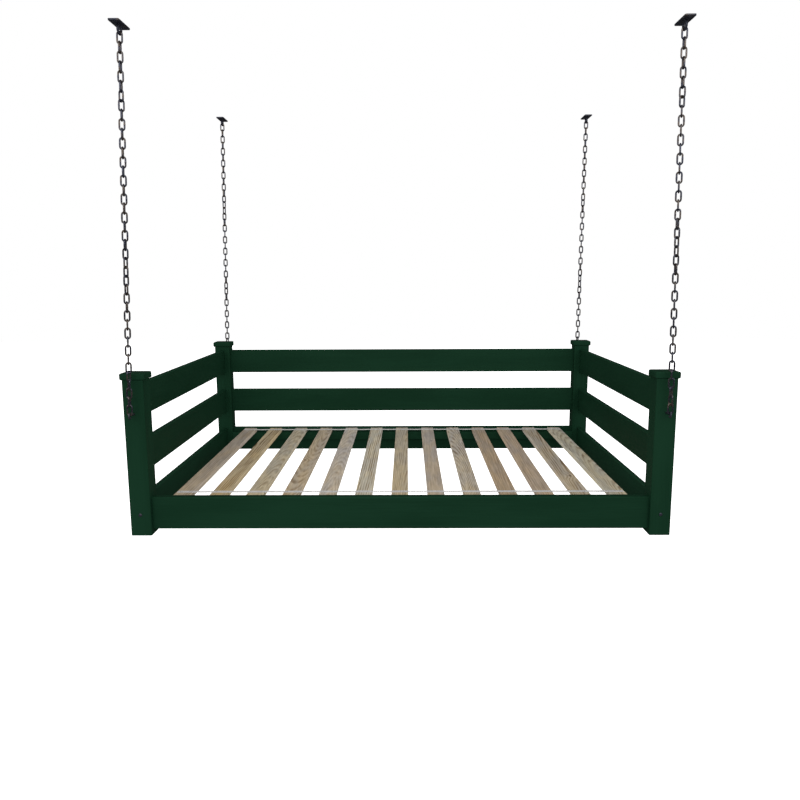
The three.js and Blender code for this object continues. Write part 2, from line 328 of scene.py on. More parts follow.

# %% [markdown]
# ## Green paint
#
# Exterior paint on planed timber hides the colour of the wood and shows its relief. The colour
# drifts a little where the brush left more or less, and along a sharp edge a paler green is
# painted on as a highlight. Both `grain` and `edge` are stored on each piece when it is made: the
# first runs along the timber whichever way the piece lies, the second is 1 on its arrises. The
# scales of a noise are how often it changes in a metre, along the grain and twice across it. So
# one low scale and two high ones draw streaks.

# %% Green paint
def green_paint():
    """Dark satin green: two greens in clouds and brushed streaks, and a paler green arris.

    The two greens change over where 0.65 cloud + 0.35 streak is about one half. The painted
    highlight on the arrises comes in where edge + (streak - 1/2) / 2 rises from 0.25 to 0.85, to a
    share of 0.55.
    """
    deep_green = (0.0071, 0.0342, 0.0166, 1)
    light_green = (0.0092, 0.0416, 0.0208, 1)
    arris_highlight_green = (0.0130, 0.0580, 0.0300, 1)
    brush_depth = 0.0006
    shade = Shade("green_paint", Specular_IOR_Level=0.03)
    grain = shade.attribute("grain")
    cloud = shade.noise(shade.scaled(grain, (1.6, 7.0, 7.0)), detail=3.0)
    streak = shade.noise(shade.scaled(grain, (5.0, 240.0, 240.0)), detail=4.0, roughness=0.6)
    pores = shade.noise(shade.scaled(grain, (22.0, 900.0, 900.0)), detail=2.0)
    coat = shade.fade(cloud * 0.65 + streak * 0.35, 0.37, 0.63)
    edge = shade.attribute("edge", "Fac")
    # Painted highlight: a paler green along the arrises, where an edge would catch the light.
    edge_highlight = shade.fade(edge + (streak - 0.5) * 0.5, 0.25, 0.85, 0.0, 0.55)
    colour = shade.blend(edge_highlight, shade.blend(coat, deep_green, light_green), arris_highlight_green)
    relief = shade.bump(streak * 0.75 + pores * 0.25, brush_depth, 0.9)
    rough = shade.fade(cloud, 0.3, 0.7, 0.46, 0.58)
    return shade.finish(Base_Color=colour, Roughness=rough, Normal=relief)


paint = green_paint()
print(paint.name, "has", len(paint.node_tree.nodes), "nodes")

# %% [markdown]
# ## Bare pine
#
# A slat is cut from a tree, and its figure is the tree's rings seen where the saw passed. So the
# pattern is solid: `grain` is measured from the heart of the tree, its distance from the heart
# is taken, and each whole number of ring widths starts a new ring. A ring is pale early wood
# that darkens to a thin brown late wood. Where the board runs slightly askew to the heart, the
# rings come out as the long arches that joiners call cathedrals. What differs from slat to slat
# is stored on it: `tone` is its colour, `figure` its strength of figure and its rings to the
# metre, and `knot` the way from its knot and the knot's size.

# %% Bare pine
ring_wander = 0.016  # how far slow noise moves a ring
ring_tremble = 0.005  # how far quick noise moves it
knot_swerve = 0.012  # how far the rings part at a knot
knot_reach = 0.05  # from a knot to where they run straight again
knot_heart, knot_rim = 0.003, 0.009  # radii between which a knot fades into the wood
knot_length = 0.55  # share of the distance from a knot that counts along the slat


def bare_pine():
    """Softwood in each slat's own colour: rings about the heart, fibres, clouds and knots.

    The radius is the distance from the heart, (across^2 + depth^2)^0.5, plus two noises and the
    swerve round a knot. The fraction of radius x rings per metre tells how old the ring is. It
    darkens into late wood from 0.30 to 0.75 and drops into the next ring from 0.90 to 1. Rings,
    weather and fibres multiply the slat's own colour.
    """
    early_wood = (1.09, 1.12, 1.17, 1)
    late_wood = (0.40, 0.28, 0.17, 1)
    warmer = (1.06, 1.03, 0.96, 1)
    cooler = (0.94, 0.96, 1.01, 1)
    knot_brown = (0.085, 0.048, 0.022, 1)
    shade = Shade("bare_pine", Specular_IOR_Level=0.1)
    grain = shade.attribute("grain")
    # The stored tone holds painted light: it is paler on the sawn sides.
    colour_with_side_light = shade.attribute("tone")
    figure, rings_per_metre, _ = shade.parts(shade.attribute("figure"))
    along_knot, across_knot, knot_size = shade.parts(shade.attribute("knot"))
    _, across, depth = shade.parts(grain)

    knot_distance = ((along_knot * knot_length) ** 2.0 + across_knot ** 2.0) ** 0.5
    swerve = shade.fade(knot_distance, 0.0, knot_reach, knot_swerve, 0.0) * knot_size
    knot = shade.fade(knot_distance, knot_heart, knot_rim, 1.0, 0.0) * knot_size

    slow = shade.noise(shade.scaled(grain, (1.6, 9.0, 9.0)), detail=1.0) - 0.5
    quick = shade.noise(shade.scaled(grain, (11.0, 36.0, 36.0)), detail=2.0) - 0.5
    radius = (across ** 2.0 + depth ** 2.0) ** 0.5
    radius = radius + slow * ring_wander + quick * ring_tremble + swerve
    age = (radius * rings_per_metre).maths("FRACT")
    late = shade.fade(age, 0.30, 0.75) * shade.fade(age, 0.90, 1.0, 1.0, 0.0)
    bold = shade.noise(shade.scaled(grain, (5.0, 45.0, 45.0)), detail=2.0)
    marked = late * figure * shade.fade(bold, 0.30, 0.68, 0.3, 1.35)

    fibre = shade.noise(shade.scaled(grain, (6.0, 140.0, 140.0)), detail=4.0, roughness=0.7)
    speckle = shade.noise(shade.scaled(grain, (16.0, 620.0, 620.0)), detail=3.0)
    pores = shade.fade(speckle, 0.54, 0.70)
    cloud = shade.noise(shade.scaled(grain, (4.0, 18.0, 18.0)), detail=2.0)

    rings = shade.blend(marked + pores * 0.1, early_wood, late_wood)
    weather = shade.blend(shade.fade(cloud, 0.38, 0.62), warmer, cooler)
    combed = shade.scaled(colour_with_side_light, 1 + (fibre - 0.5) * 1.3)
    coloured = shade.scaled(shade.scaled(combed, rings), weather)
    knotted = shade.blend(knot * 0.85, coloured, knot_brown)

    relief = shade.bump(fibre * 0.6 + late * 0.4, 0.0003, 0.6)
    rough = shade.fade(late, 0.0, 1.0, 0.82, 0.64)
    return shade.finish(Base_Color=knotted, Roughness=rough, Normal=relief)


pine = bare_pine()
print(pine.name, "has", len(pine.node_tree.nodes), "nodes")

# %% [markdown]
# ## Webbing
#
# The tape is a narrow open weave that lets what lies under it show through, with a dense
# selvedge along both sides. Warp threads run along it and weft threads across. A sine without
# its sign has one hump for each thread, and where no thread is near its hump the tape is open.

# %% Webbing
warp_spacing = 0.0011
weft_spacing = 0.0016
selvedge_from, selvedge_full = 0.0095, 0.0115  # from the tape's middle line


def woven_tape():
    """Pale open tape: threads crossed a millimetre or so apart, and a dense selvedge.

    A set of threads is |sin(pi x / spacing)|. The cover is the higher of the two sets, cut off
    softly below 0.94, or the selvedge where that is more.
    """
    clean_yarn = (0.80, 0.785, 0.775, 1)
    soiled_yarn = (0.68, 0.665, 0.65, 1)
    selvedge_yarn = (0.82, 0.81, 0.80, 1)
    thread_height = 0.0003
    shade = Shade("woven_tape", Roughness=0.9, Specular_IOR_Level=0.15)
    grain = shade.attribute("grain")
    along, across, _ = shade.parts(grain)
    warp = (across * (math.pi / warp_spacing)).maths("SINE").maths("ABSOLUTE")
    weft = (along * (math.pi / weft_spacing)).maths("SINE").maths("ABSOLUTE")
    thread = shade.fade(warp.maths("MAXIMUM", weft), 0.76, 0.94)
    selvedge = shade.fade(across.maths("ABSOLUTE"), selvedge_from, selvedge_full)
    soiled = shade.noise(shade.scaled(grain, (9.0, 40.0, 1.0)), detail=3.0)
    yarn = shade.blend(soiled, clean_yarn, soiled_yarn)
    colour = shade.blend(selvedge * 0.5, yarn, selvedge_yarn)
    cover = thread.maths("MAXIMUM", selvedge * 0.8)
    relief = shade.bump(warp * weft, thread_height, 0.8)
    return shade.finish(Base_Color=colour, Alpha=cover, Normal=relief)


tape_cloth = woven_tape()
print(tape_cloth.name, "has", round(0.001 / warp_spacing, 1), "warp threads to the millimetre")

# %% [markdown]
# ## Chain, fasteners and staples
#
# The chain, the bolts, the screw eyes and the hangers are steel blackened by heat and oil:
# nearly black, with a violet and a copper cast that change from place to place, and paler spots
# where it has rubbed. Handling has made the chain smoother, and brought out more of the copper.
# The staples are plain zinc-coated wire.

# %% Chain, fasteners and staples
def blackened_steel(name, rough_low, rough_high, copper_from):
    """Dark steel, violet to copper in clouds, rubbed bright in small spots.

    Copper sets in where the clouds pass copper_from, and is full 0.2 higher. The bare spots lie
    where speck + 0.4 cloud passes 0.74, and reach a share of one half.
    """
    violet_cast = (0.083, 0.089, 0.121, 1)
    copper_cast = (0.160, 0.126, 0.102, 1)
    bare_metal = (0.38, 0.38, 0.39, 1)
    shade = Shade(name, Metallic=0.85)
    place = shade.place()
    cloud = shade.noise(place, scale=38.0, detail=3.0)
    speck = shade.noise(place, scale=420.0, detail=3.0, roughness=0.6)
    copper = shade.fade(cloud, copper_from, copper_from + 0.2)
    rubbed = shade.fade(speck + cloud * 0.4, 0.74, 0.94, 0.0, 0.5)
    colour = shade.blend(rubbed, shade.blend(copper, violet_cast, copper_cast), bare_metal)
    rough = shade.fade(speck, 0.35, 0.65, rough_low, rough_high)
    relief = shade.bump(speck, 0.0002, 0.35)
    return shade.finish(Base_Color=colour, Roughness=rough, Normal=relief)


chain_metal = blackened_steel("blackened_chain", 0.18, 0.34, 0.43)
fastener_metal = blackened_steel("blackened_fasteners", 0.48, 0.64, 0.56)


def staple_wire():
    """Zinc-coated staple wire, bright with dull spots."""
    bright_zinc = (0.72, 0.73, 0.76, 1)
    dull_zinc = (0.48, 0.49, 0.52, 1)
    shade = Shade("staple_wire", Metallic=1.0)
    place = shade.place()
    dull = shade.noise(place, scale=700.0, detail=2.0)
    colour = shade.blend(dull, bright_zinc, dull_zinc)
    return shade.finish(Base_Color=colour, Roughness=shade.fade(dull, 0.3, 0.7, 0.22, 0.4))


zinc = staple_wire()
print("steel:", chain_metal.name, fastener_metal.name, zinc.name)

# %% [markdown]
# ## The floor's finish
#
# The floor is matt and nearly white. It also glows, because a floor that is only lit would turn
# grey under the bed and show an edge against the backdrop.

# %% The floor's finish
def pale_floor():
    """Matt off-white, mottled very faintly, and lit from within so that shadows stay faint."""
    greyer_patch = (0.86, 0.86, 0.86, 1)
    paler_patch = (0.90, 0.90, 0.89, 1)
    shade = Shade(
        "pale_floor",
        Roughness=0.9,
        Specular_IOR_Level=0.0,
        Emission_Color=white,
        Emission_Strength=1.0,
    )
    place = shade.place()
    mottle = shade.noise(place, scale=0.6, detail=2.0)
    return shade.finish(Base_Color=shade.blend(mottle, greyer_patch, paler_patch))


floor_mesh.materials.append(pale_floor())
print(len(bpy.data.materials), "materials")

# %% [markdown]
# ## Surfaces from rings
#
# Everything here is a ring carried along something: a rounded rectangle along a board, a circle
# along a bent wire, a point of a profile round an axis. So one function joins an array of rings
# into a closed surface, and the others only have to work out where the rings go.

# %% Surfaces from rings
sharp_edge = 35  # degrees between two faces, past which the edge between them stays sharp


def skin(rings, loop=False):
    """Points and faces of the closed surface through rings, an array rows x around x 3.

    Point j of ring i joins point j + 1 and the same two points of ring i + 1. The last ring
    joins the first where loop is set. Otherwise one flat face closes each end.
    """
    rows, around = rings.shape[:2]
    index = np.arange(rows * around).reshape(rows, around)
    here, there = (index, np.roll(index, -1, 0)) if loop else (index[:-1], index[1:])
    quads = np.stack([here, np.roll(here, -1, 1), np.roll(there, -1, 1), there], -1)
    faces = quads.reshape(-1, 4).tolist()
    if not loop:
        faces += [index[0, ::-1].tolist(), index[-1].tolist()]
    return rings.reshape(-1, 3), faces


def make_piece(name, shells, material=None, sharp_above=sharp_edge):
    """One object from several closed shells, facing outwards, smooth but for its sharp edges."""
    points, faces, count = [], [], 0
    for shell_points, shell_faces in shells:
        points.append(shell_points)
        faces += [[count + i for i in face] for face in shell_faces]
        count += len(shell_points)
    data = bpy.data.meshes.new(name)
    data.from_pydata(np.concatenate(points).tolist(), [], faces)
    face_outwards(data)
    data.shade_smooth()
    data.set_sharp_from_angle(angle=math.radians(sharp_above))
    if material:
        data.materials.append(material)
    piece = bpy.data.objects.new(name, data)
    bpy.context.scene.collection.objects.link(piece)
    return piece


def face_outwards(data):
    """Turns each closed shell of a mesh so that its faces look away from its inside."""
    shells = bmesh.new()
    shells.from_mesh(data)
    bmesh.ops.recalc_face_normals(shells, faces=shells.faces)
    shells.to_mesh(data)
    shells.free()


def points_of(piece):
    """The points of a piece, as an array."""
    flat = np.zeros(len(piece.data.vertices) * 3)
    piece.data.vertices.foreach_get("co", flat)
    return flat.reshape(-1, 3)


def store(piece, name, values, kind="FLOAT_VECTOR", field="vector"):
    """Keeps one value for each point of a piece, for its material to read."""
    attribute = piece.data.attributes.new(name, kind, "POINT")
    attribute.data.foreach_set(field, np.ascontiguousarray(values, np.float32).ravel())


print("edges up to", sharp_edge, "degrees are shaded smooth")

# %% [markdown]
# ## Timber bars
#
# Planed timber has no sharp arris: a plane or a router takes it off, or splinters would. A board
# is a rounded rectangle carried along its run. At both ends the outline is set in along a quarter
# circle as well, so that the end grain meets the sides in a soft edge too. Bevelling a box would
# give the same shape, but a formula also tells where every edge is, which the paint needs.

# %% Timber bars
def rounded_rectangle(width, height, radius, steps=6, shoulder=0.003):
    """Points round a rectangle with round corners, anticlockwise, rows of x and y.

    A corner is its centre, set in from both sides by the radius, plus radius x (cos a, sin a)
    over a quarter turn. One more point lies on the flat beside each end of it, so that the flat
    stays flat where the surface is shaded smooth.
    """
    turn = np.linspace(0, math.pi / 2, steps + 1)
    arc = radius * np.stack([np.cos(turn), np.sin(turn)], 1)
    arc = np.concatenate([[[radius, -shoulder]], arc, [[-shoulder, radius]]])
    points = []
    for quarter, (sign_x, sign_y) in enumerate([(1, 1), (-1, 1), (-1, -1), (1, -1)]):
        c, s = math.cos(quarter * math.pi / 2), math.sin(quarter * math.pi / 2)
        centre = [sign_x * (width / 2 - radius), sign_y * (height / 2 - radius)]
        points.append(arc @ np.array([[c, s], [-s, c]]) + centre)
    return np.concatenate(points)


def turned_to(points, run):
    """Points with their third part along an axis of the frame: X, Y or Z."""
    return np.roll(points, run + 1, axis=-1)


def bar(low, high, run, edge, end, steps=6, shoulder=0.006):
    """A timber bar that fills a box, round along its length by edge and at its ends by end.

    At a height end (1 - cos a) from either end the outline is set in by end (1 - sin a), a
    quarter circle. One more ring a shoulder further in, but never past the middle, keeps what
    is stored on the end's points from spreading along the whole bar.
    """
    size, middle = high - low, (high + low) / 2
    width, height = size[(run + 1) % 3], size[(run + 2) % 3]
    turn = np.linspace(0, math.pi / 2, steps)
    into = np.append(end * (1 - np.cos(turn)), min(end + shoulder, size[run] / 2.5))
    inset = np.append(end * (1 - np.sin(turn)), 0.0)
    into = np.concatenate([into, size[run] - into[::-1]])
    inset = np.concatenate([inset, inset[::-1]])
    rings = []
    for along, set_in in zip(into - size[run] / 2, inset):
        flat = rounded_rectangle(width - 2 * set_in, height - 2 * set_in, edge - set_in)
        rings.append(np.column_stack([flat, np.full(len(flat), along)]))
    return skin(turned_to(np.array(rings), run) + middle)


print("a bar has", len(bar(np.zeros(3), np.ones(3), Z, 0.01, 0.01)[0]), "points")

# %% [markdown]
# ## Grain and edges
#
# The paint and the pine look up two things at each point: where it is in the tree that the piece
# was sawn from, and how near it is to an edge. Both are worked out from the finished shape, holes
# and all, and stored on its points. Chance gives each piece a place of its own in the tree. It
# starts from a fixed seed, so that every run draws the same.

# %% Grain and edges
chance = np.random.default_rng(11)
tree_length = 40  # of grain, from which each piece takes its start


def mark_edges(piece, reach=0.005):
    """Stores how near each point is to an edge of the piece's box, 1 on it and 0 past reach.

    The two shortest distances to its faces are added: their sum is zero on a sharp edge, and
    on a flat it is the distance to the nearest edge.
    """
    points = points_of(piece)
    low, high = points.min(0), points.max(0)
    to_faces = np.sort(np.minimum(points - low, high - points), axis=1)
    near = 1 - to_faces[:, :2].sum(1) / reach
    store(piece, "edge", np.clip(near, 0, 1), "FLOAT", "value")


def mark_grain(piece, run, heart=(0.0, 0.0), askew=(0.0, 0.0), start=0.0):
    """Stores where each point is in the tree: along it, and aside and above its heart.

    At the middle of the bar the heart lies heart[0] metres aside, along its width, and heart[1]
    metres below, along its thickness. Each metre along the run moves it by askew, in the same
    two ways.
    """
    points = points_of(piece)
    low, high = points.min(0), points.max(0)
    centred = points - (low + high) / 2
    others = sorted((axis for axis in range(3) if axis != run), key=lambda a: low[a] - high[a])
    along, across, up = (centred[:, axis] for axis in (run, *others))
    aside = across - heart[0] - askew[0] * along
    above = up + heart[1] + askew[1] * along
    store(piece, "grain", np.stack([along + start, aside, above], 1))


def painted(piece, run):
    """Gives a bar its paint, with grain from a place of its own."""
    heart = (chance.uniform(-0.05, 0.05), chance.uniform(0.05, 0.12))
    askew = (0.0, chance.uniform(-0.02, 0.02))
    mark_grain(piece, run, heart, askew, chance.uniform(0, tree_length))
    mark_edges(piece)
    piece.data.materials.clear()
    piece.data.materials.append(paint)
    return piece


print("pieces are cut from", tree_length, "m of grain")

# %% [markdown]
# ## Cutting
#
# Holes and housings are cut with solids of the size of what goes in, a little larger all round.
# The Boolean modifier does the cutting and is then applied, because the grain and the edges are
# stored on the points that are left.

# %% Cutting
def turned(profile, sides=48):
    """A closed surface turned about its third axis from rows of radius, height and hexagon.

    Where hexagon is 1 the radius grows by 1 / cos of the angle from the nearest flat, which
    makes the circle a six-sided bar with that radius inside it.
    """
    angle = np.arange(sides) * 2 * math.pi / sides
    from_flat = (angle % (math.pi / 3)) - math.pi / 6
    radius, height, hexagon = np.array(profile, float).T[:, :, None]
    radius = radius * (1 + hexagon * (1 / np.cos(from_flat) - 1))
    rings = [radius * np.cos(angle), radius * np.sin(angle), height + 0 * angle]
    return skin(np.stack(rings, -1))


def cylinder(low, high, run, room=fit):
    """A round cutter that fills a box, with room round it."""
    radius = (high - low)[(run + 1) % 3] / 2 + room
    half = (high - low)[run] / 2 + room
    points, faces = turned([(radius, -half, 0), (radius, half, 0)])
    return turned_to(points, run) + (low + high) / 2, faces


def block(low, high, room=fit):
    """A square cutter that fills a box, with room round it."""
    low, high = low - room, high + room
    flat = [(low[X], low[Y]), (high[X], low[Y]), (high[X], high[Y]), (low[X], high[Y])]
    return skin(np.array([[(x, y, z) for x, y in flat] for z in (low[Z], high[Z])]))


def carve(piece, shells, operation="DIFFERENCE"):
    """Cuts solids out of a piece, or joins them to it, and keeps the result."""
    tools = [make_piece("cutter", [shell]) for shell in shells]
    for tool in tools:
        modifier = piece.modifiers.new("carve", "BOOLEAN")
        modifier.operation, modifier.solver, modifier.object = operation, "EXACT", tool
    depsgraph = bpy.context.evaluated_depsgraph_get()
    done = bpy.data.meshes.new_from_object(piece.evaluated_get(depsgraph))
    piece.modifiers.clear()
    piece.data = done
    for tool in tools:
        bpy.data.objects.remove(tool)
    done.shade_smooth()
    done.set_sharp_from_angle(angle=math.radians(sharp_edge))
    return piece


print("cuts leave", round(fit * 1000, 1), "mm of room")

# %% [markdown]
# ## Posts
#
# Each post is a square timber with its four arrises well rounded, so that nobody is hurt by one.
# The boards are let into it, the long bolt runs through it and the screw eye bites into it. The
# cuts come from the boxes of those pieces: whatever reaches into the post's own box is cut out.

# %% Posts
post_edge = 0.006
post_end = 0.0015
shank_radius = 0.004  # of the bolts and of the screw eyes
boards = [n for n in body_of_node if "rail" in n or "board" in n]


def overlap(first, second):
    """True if two boxes share some space."""
    return bool(np.all(first[0] < second[1]) and np.all(second[0] < first[1]))


def shank_box(node, radius, run=Y):
    """The box of a round fastener's shank: the node's length, and as wide as the shank."""
    low, high = box_of(node)
    middle = (low + high) / 2
    for axis in range(3):
        if axis != run:
            low[axis], high[axis] = middle[axis] - radius, middle[axis] + radius
    return low, high


for corner in corners:
    node = "post_" + corner
    low, high = box_of(node)
    post = make_piece(node + "_timber", [bar(low, high, Z, post_edge, post_end)])
    cutters = [block(*box_of(n)) for n in boards if overlap((low, high), box_of(n))]
    for fastener in ("bolt_", "screw_eye_"):
        cutters.append(cylinder(*shank_box(fastener + corner, shank_radius), Y))
    stands_for(painted(carve(post, cutters), Z), node)
    print(node, len(cutters), "cuts")

# %% [markdown]
# ## Caps
#
# A cap is a square block that overhangs its post all round and keeps rain off the end grain.
# Its rim is rounded over above and below and stays flat between. The same bar does it, with its
# run upright: the edge radius rounds the corners in plan, the end radius rounds the rim.

# %% Caps
cap_corner = 0.010
cap_rim = 0.0065
for corner in corners:
    node = "cap_" + corner
    low, high = box_of(node)
    cap = make_piece(node + "_timber", [bar(low, high, Z, cap_corner, cap_rim)])
    stands_for(painted(cap, Z), node)
print(len(corners), "caps,", round((high[X] - low[X]) * 1000), "mm wide")

# %% [markdown]
# ## Rails, boards and ledgers
#
# These are the same bar again, lying down. The side rails have more work in them: the bolt enters
# through the end grain, and a barrel nut waits for it in a round pocket bored from outside.

# %% Rails, boards and ledgers
board_edge = 0.003
board_end = 0.001


def nut_pocket(corner, rail_low, rail_high):
    """A cutter as thick as the barrel nut, from the nut's inner end out through the rail."""
    nut = "barrel_nut_" + corner
    low, high = box_of(nut)
    low, high = shank_box(nut, (high[Z] - low[Z]) / 2, X)
    if rail_low[X] < 0:
        low[X] = rail_low[X] - fit
    else:
        high[X] = rail_high[X] + fit
    return cylinder(low, high, X)


for node in boards + ["front_ledger", "back_ledger"]:
    low, high = box_of(node)
    run = int(np.argmax(high - low))
    timber = make_piece(node + "_timber", [bar(low, high, run, board_edge, board_end)])
    if node.startswith("side_rail"):
        side = node.removeprefix("side_rail")
        cutters = []
        for corner in (c for c in corners if c.endswith(side)):
            cutters.append(nut_pocket(corner, low, high))
            cutters.append(cylinder(*shank_box("bolt_" + corner, shank_radius), Y))
        carve(timber, cutters)
    stands_for(painted(timber, run), node)
print(len(boards), "boards and two ledgers")

# %% [markdown]
# ## Slats
#
# Thirteen strips of bare pine, each sawn from another place in the tree and none of the same
# colour. A list gives each its colour, how strong its rings are and how close, where the heart
# of its tree lies and how askew it was sawn. Far to one side the heart gives straight lines,
# below the middle and askew it gives arches. The colour turns a little bluer and less red towards
# the back. The sawn sides are painted paler than the top, as painted light, and three slats have a
# knot.

# %% Slats
# Each row: colour, strength of the rings, rings to the metre, the heart's place aside and below,
# and how far it moves in those two ways with each metre of slat.
slat_wood = [
    ((0.406, 0.334, 0.251), 0.42, 105, (0.080, 0.030), (0.010, 0.010)),
    ((0.477, 0.374, 0.224), 0.80, 120, (-0.048, 0.030), (0.030, 0.018)),
    ((0.456, 0.391, 0.281), 0.40, 160, (0.018, 0.060), (0.004, 0.055)),
    ((0.446, 0.361, 0.253), 0.48, 150, (0.008, 0.055), (0.025, -0.060)),
    ((0.483, 0.419, 0.340), 0.32, 160, (0.012, 0.060), (0.010, 0.060)),
    ((0.524, 0.469, 0.360), 0.72, 100, (-0.090, 0.020), (0.020, 0.004)),
    ((0.449, 0.374, 0.257), 0.42, 130, (0.040, 0.024), (0.006, 0.022)),
    ((0.405, 0.336, 0.260), 0.16, 110, (0.030, 0.060), (0.004, 0.010)),
    ((0.472, 0.407, 0.314), 0.60, 150, (-0.045, 0.060), (0.020, 0.060)),
    ((0.387, 0.296, 0.202), 0.35, 110, (0.060, 0.040), (0.012, 0.010)),
    ((0.419, 0.326, 0.233), 0.35, 115, (-0.060, 0.040), (0.014, 0.010)),
    ((0.443, 0.376, 0.282), 0.66, 115, (0.040, 0.030), (0.020, 0.020)),
    ((0.465, 0.418, 0.315), 0.48, 150, (0.026, 0.065), (-0.012, 0.055)),
]
slat_edge = 0.0015
slat_end = 0.001
# Painted light: a sawn side is drawn paler than the top by this share, as if it were lit as
# brightly.
side_painted_light = 0.35  # share by which a sawn side is paler than the top
side_plainer = 0.75  # share of the rings' strength that a sawn side lacks
# Towards the back the slats' colour turns bluer and a little less red.
bluer_behind = (-0.04, 0.01, 0.12)  # red, green and blue gained from the front to the back
no_knot = (9.0, 9.0, 0.0)  # too far off to matter, and of no size
slat_knots = {  # place along and across the slat, from its middle, and size
    "slat_04": (-0.10, -0.020, 0.8),
    "slat_08": (0.35, 0.014, 0.6),
    "slat_12": (-0.42, 0.012, 1.0),
}
slats = sorted(n for n in body_of_node if n.startswith("slat_"))


def mark_wood(slat, low, high, wood, knot):
    """Stores a slat's grain, tone, figure and way from its knot.

    The tone is the slat's colour x (1 + paler x side) x (1 + bluer x way to the back), where paler
    is painted light on the sawn sides. Side is 1 on a sawn side and 0 an edge's radius in, and the
    way to the back runs from -1/2 to 1/2.
    """
    tone, strength, rings_per_metre, heart, askew = wood
    mark_grain(slat, Y, heart, askew, chance.uniform(0, tree_length))
    points = points_of(slat)
    from_side = np.minimum(points[:, X] - low[X], high[X] - points[:, X])
    on_side = np.clip(1 - from_side / slat_edge, 0, 1)
    towards_back = (points[:, Y] - low[Y]) / (high[Y] - low[Y]) - 0.5
    tint_to_back = 1 + np.outer(towards_back, bluer_behind)
    # Painted light on the sawn sides: their colour is drawn paler than the top's.
    store(slat, "tone", tint_to_back * np.outer(1 + side_painted_light * on_side, tone))
    nothing = np.zeros(len(points))
    strength = strength * (1 - side_plainer * on_side)
    store(slat, "figure", np.stack([strength, nothing + rings_per_metre, nothing], 1))
    knot_along, knot_across, size = knot
    across, along, _ = (points - (low + high) / 2).T
    from_knot = [along - knot_along, across - knot_across, nothing + size]
    store(slat, "knot", np.stack(from_knot, 1))


for node, wood in zip(slats, slat_wood):
    low, high = box_of(node)
    slat = make_piece(node + "_timber", [bar(low, high, Y, slat_edge, slat_end)], pine)
    mark_wood(slat, low, high, wood, slat_knots.get(node, no_knot))
    stands_for(slat, node)
print(len(slats), "slats,", len(slat_knots), "of them with a knot")

# %% [markdown]
# ## Tapes
#
# Each tape keeps the slats at their spacing. It lies flat on a slat and sags a little over the
# gap to the next, which a squared cosine follows: level at both slats and lowest between them.

# %% Tapes
tape_nodes = ("front_tape", "back_tape")
tape_sag = 0.0005
tape_rows = 340
slat_lefts = [box_of(node)[0][X] for node in slats]
slat_width = box_of(slats[0])[1][X] - slat_lefts[0]
slat_pitch = slat_lefts[1] - slat_lefts[0]
slat_middles = [left + slat_width / 2 for left in slat_lefts]


def tape_drop(x):
    """How far the tape hangs below the slats' level at a place along it.

    In a gap, g runs from -1/2 to 1/2 and the drop is sag x cos^2(pi g). On a slat it is zero.
    """
    gap = slat_pitch - slat_width
    g = ((x - slat_middles[0]) / slat_pitch % 1 - 0.5) * slat_pitch / gap
    return np.where(np.abs(g) < 0.5, tape_sag * np.cos(math.pi * g) ** 2, 0.0)


def tape(low, high):
    """A thin rectangle with nearly half-round sides, carried along X and following the drop."""
    across, thick = high[Y] - low[Y], high[Z] - low[Z]
    flat = rounded_rectangle(across, thick, thick * 0.45, steps=3, shoulder=thick * 0.02)
    x = np.linspace(low[X], high[X], tape_rows)
    middle = (low + high) / 2
    rings = np.zeros((len(x), len(flat), 3))
    rings[:, :, X] = x[:, None]
    rings[:, :, Y] = middle[Y] + flat[:, 0]
    rings[:, :, Z] = middle[Z] + flat[:, 1] - tape_drop(x)[:, None]
    return skin(rings)


for node in tape_nodes:
    low, high = box_of(node)
    webbing = make_piece(node + "_webbing", [tape(low, high)], tape_cloth)
    mark_grain(webbing, X)
    stands_for(webbing, node)
    print(node, round(high[X] - low[X], 3), "m long")

# %% [markdown]
# ## Bent wire
#
# A chain link, a screw eye, the ring of a hanger and a staple are all round wire bent in one
# plane. The wire's middle is a flat path. At each of its points a ring stands square to the path.

# %% Bent wire
def wire(path, radius, sides, loop=False):
    """Rings of a round wire whose middle follows a flat path, rows of x and y.

    The tangent runs from the point before to the point after, the normal is the tangent turned
    a quarter, and a ring is the middle + radius x (cos a x normal + sin a x third axis). The
    radius is one number, one for each row, or one for each row and side.
    """
    if loop:
        tangent = np.roll(path, -1, 0) - np.roll(path, 1, 0)
    else:
        tangent = np.gradient(path, axis=0)
    tangent = tangent / np.linalg.norm(tangent, axis=1)[:, None]
    normal = np.stack([tangent[:, 1], -tangent[:, 0]], 1)
    angle = np.arange(sides) * 2 * math.pi / sides
    radius = np.asarray(radius, float)
    if radius.ndim == 1:
        radius = radius[:, None]
    out = radius * np.cos(angle)
    rings = np.zeros((len(path), sides, 3))
    rings[:, :, :2] = path[:, None, :] + out[..., None] * normal[:, None, :]
    rings[:, :, 2] = radius * np.sin(angle)
    return rings


def moved(rings, right, up, place):
    """Rings with their flat x and y laid along two directions of the frame, from a place."""
    right, up = np.array(right, float), np.array(up, float)
    axes = np.array([right, up, np.cross(right, up)])
    return rings @ axes + place


print("a short straight wire has rings of shape", wire(np.eye(2), 0.001, 8).shape)

# %% [markdown]
# ## Staples
#
# Two staples hold a tape to each slat. They lie across the tape, and were driven by hand, so
# none is quite in its place or quite square.

# %% Staples
staple_radius = 0.0006  # of its wire
staple_crown = 0.011
staple_leg = 0.006
staple_proud = 0.6 * staple_radius  # from the tape to the middle of the crown's wire
staple_aside = 0.019  # from the slat's middle line
stray_along, stray_across, stray_turn = 0.004, 0.002, 0.3  # at most, the turn in radians


